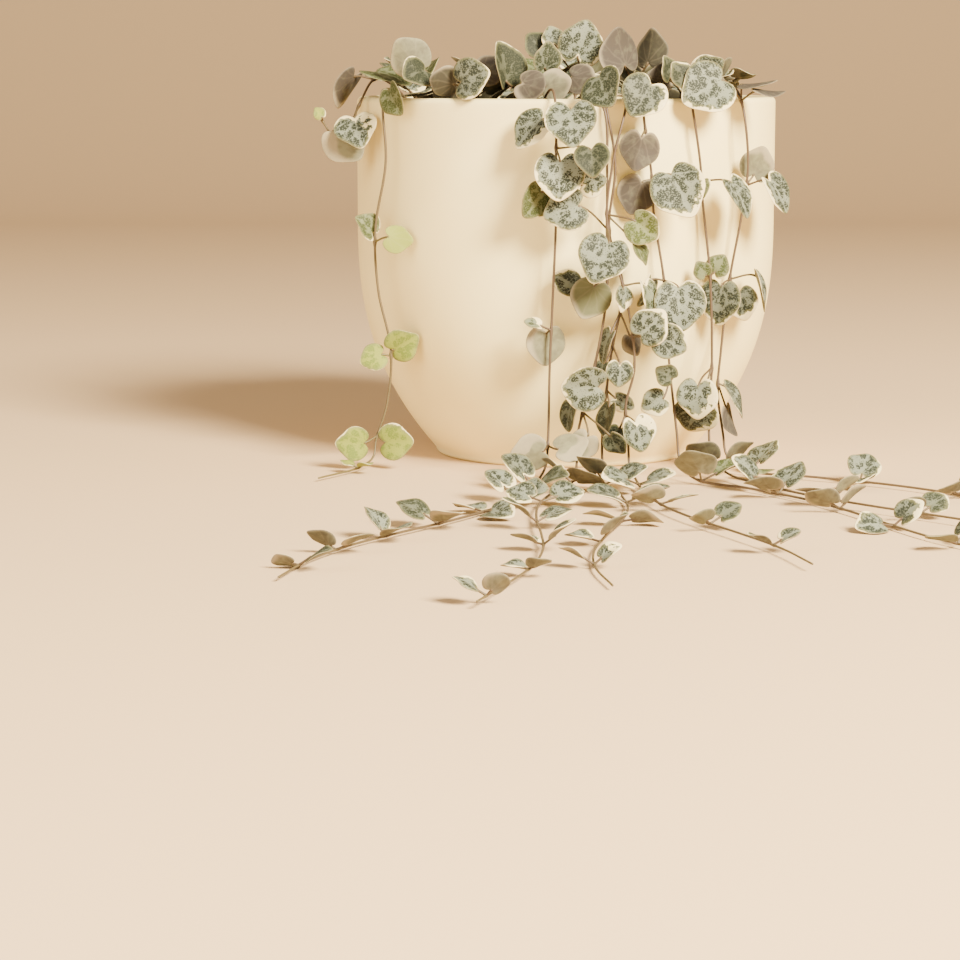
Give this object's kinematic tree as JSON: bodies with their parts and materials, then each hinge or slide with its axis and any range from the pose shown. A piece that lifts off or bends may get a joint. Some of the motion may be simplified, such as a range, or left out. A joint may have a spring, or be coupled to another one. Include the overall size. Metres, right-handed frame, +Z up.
{
  "type": "potted string of hearts",
  "caption": "Trailing string of hearts with paired variegated heart-shaped leaves on thin stems, growing in a round-bottomed ceramic pot.",
  "frame": {"origin": "middle of the pot's flat foot, on the surface that it stands on", "axes": "+Z up the pot's axis, -Y towards the side that the stems hang down, +X to the right as seen from that side"},
  "size_m": [0.284, 0.3991, 0.1644],
  "materials": {
    "pot": "matte cream glaze, smooth",
    "soil": "crumbly damp potting soil",
    "leaf": "living leaf, satin, silver-green marbled with dark green, cream margins, mauve underside",
    "young_leaf": "young living leaf, satin, lime green with faint marbling"
  },
  "bodies": {
    "root": {"pot": "pot", "soil": "soil", "strand_left": "young_leaf", "strand_1": "leaf", "strand_2": "leaf", "strand_3": "leaf", "strand_4": "leaf", "strand_5": "leaf", "strand_6": "leaf", "strand_7": "leaf", "sprig_left": "leaf", "sprig_a": "leaf", "sprig_b": "leaf", "sprig_c": "leaf", "sprig_d": "leaf", "sprig_e": "leaf", "sprig_f": "leaf", "sprig_g": "leaf", "sprig_top_1": "leaf", "sprig_top_2": "leaf", "sprig_top_3": "leaf", "sprig_top_4": "leaf", "sprig_top_5": "leaf", "sprig_top_6": "leaf", "sprig_top_7": "leaf", "sprig_top_8": "leaf", "sprig_top_9": "leaf", "sprig_top_10": "leaf", "sprig_top_11": "leaf", "sprig_top_12": "leaf"}
  },
  "joints": []
}
